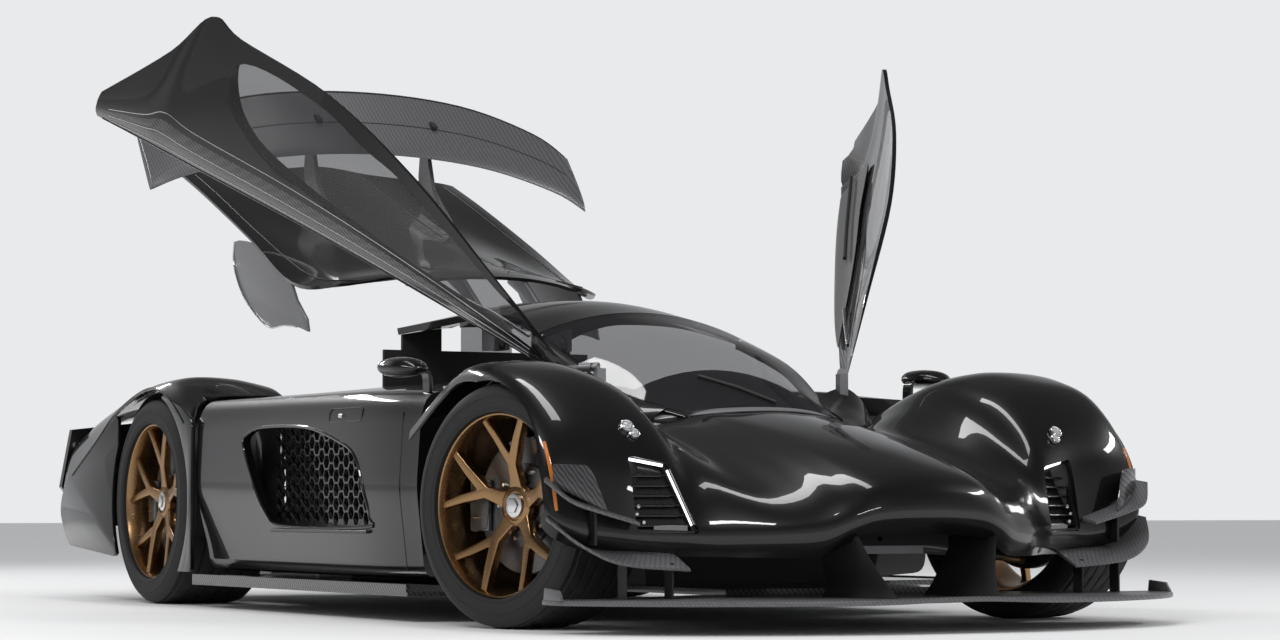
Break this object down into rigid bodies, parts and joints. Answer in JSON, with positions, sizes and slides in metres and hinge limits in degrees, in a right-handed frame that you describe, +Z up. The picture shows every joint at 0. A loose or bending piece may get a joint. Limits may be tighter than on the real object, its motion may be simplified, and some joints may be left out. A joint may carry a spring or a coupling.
{
  "type": "mid-engined hypercar",
  "caption": "Low mid-engined hypercar with teardrop canopy, tandem seats, raised dihedral doors, opened rear cover with swan-neck wing, steered front wheels.",
  "frame": {"origin": "on the ground at mid-length, on the centre plane", "axes": "+X forward, +Y to the car's left, +Z up"},
  "size_m": [4.689, 2.9664, 1.9317],
  "materials": {
    "gloss_black": "gloss",
    "carbon_weave": "clear-coated weave",
    "satin_black": "satin",
    "smoked_glass": "tinted",
    "lamp_black": "gloss",
    "lamp_red": "gloss",
    "bronze": "satin metallic",
    "tyre_black": "moulded",
    "cast_alloy": "cast",
    "bare_alloy": "machined",
    "exhaust_steel": "heat-tinted",
    "seat_leather": "stitched",
    "wheel_leather": "stitched",
    "wing_satin": "satin"
  },
  "bodies": {
    "root": {"tub": "carbon_weave", "cover_hinge_brackets": "bare_alloy", "front_clam": "gloss_black", "windscreen": "smoked_glass", "roof": "gloss_black", "splitter": "carbon_weave", "undertray": "carbon_weave", "diffuser": "carbon_weave", "tail_panel": "gloss_black", "tail_lamp": "lamp_red", "side_pod_left": "gloss_black", "side_pod_right": "gloss_black", "rear_quarter_left": "gloss_black", "rear_quarter_right": "gloss_black", "headlamp_left": "lamp_black", "headlamp_right": "lamp_black", "dive_planes": "carbon_weave", "sills": "carbon_weave", "side_meshes": "satin_black", "nose_uprights": "satin_black", "bumper_beam": "bare_alloy", "door_hinges": "bare_alloy", "engine_block": "cast_alloy", "gearbox": "cast_alloy", "exhaust": "exhaust_steel", "seat_front": "seat_leather", "seat_rear": "seat_leather", "dash": "satin_black", "steering_wheel": "wheel_leather", "mirrors": "satin_black", "wiper": "satin_black", "front_subframe": "bare_alloy", "rear_subframe": "bare_alloy", "knuckle_rear_left": "bare_alloy", "knuckle_rear_right": "bare_alloy"},
    "door_left": {"door_left": "gloss_black", "door_glass_left": "smoked_glass"},
    "door_right": {"door_right": "gloss_black", "door_glass_right": "smoked_glass"},
    "rear_cover": {"rear_cover": "gloss_black", "wing": "wing_satin", "wing_struts": "wing_satin"},
    "steer_left": {"knuckle_front_left": "bare_alloy"},
    "steer_right": {"knuckle_front_right": "bare_alloy"},
    "wheel_front_left": {"rim_front_left": "bronze", "tyre_front_left": "tyre_black"},
    "wheel_front_right": {"rim_front_right": "bronze", "tyre_front_right": "tyre_black"},
    "wheel_rear_left": {"rim_rear_left": "bronze", "tyre_rear_left": "tyre_black"},
    "wheel_rear_right": {"rim_rear_right": "bronze", "tyre_rear_right": "tyre_black"}
  },
  "joints": [
    {"name": "door_left_hinge", "type": "hinge", "parent": "root", "child": "door_left", "pos_m": [0.97, 0.46, 0.765], "axis": [0.788, -0.6157, 0], "range_deg": [0, 81.5]},
    {"name": "door_right_hinge", "type": "hinge", "parent": "root", "child": "door_right", "pos_m": [0.97, -0.46, 0.765], "axis": [0.788, 0.6157, 0], "range_deg": [-81.5, 0]},
    {"name": "rear_cover_hinge", "type": "hinge", "parent": "root", "child": "rear_cover", "pos_m": [-0.305, 0, 0.9], "axis": [0, 1, 0], "range_deg": [-27, 0]},
    {"name": "steer_left", "type": "hinge", "parent": "root", "child": "steer_left", "pos_m": [1.395, 0.84, 0.347], "axis": [0, 0, 1], "range_deg": [-45, 15]},
    {"name": "roll_front_left", "type": "hinge", "parent": "steer_left", "child": "wheel_front_left", "pos_m": [1.395, 0.84, 0.347], "axis": [-0.2588, 0.9659, 0], "continuous": true},
    {"name": "roll_rear_left", "type": "hinge", "parent": "root", "child": "wheel_rear_left", "pos_m": [-1.325, 0.84, 0.364], "axis": [0, 1, 0], "continuous": true},
    {"name": "steer_right", "type": "hinge", "parent": "root", "child": "steer_right", "pos_m": [1.395, -0.84, 0.347], "axis": [0, 0, 1], "range_deg": [-45, 15]},
    {"name": "roll_front_right", "type": "hinge", "parent": "steer_right", "child": "wheel_front_right", "pos_m": [1.395, -0.84, 0.347], "axis": [-0.2588, 0.9659, 0], "continuous": true},
    {"name": "roll_rear_right", "type": "hinge", "parent": "root", "child": "wheel_rear_right", "pos_m": [-1.325, -0.84, 0.364], "axis": [0, 1, 0], "continuous": true}
  ],
  "couplings": [
    {"joint": "steer_right", "follows": "steer_left", "ratio": 1}
  ]
}
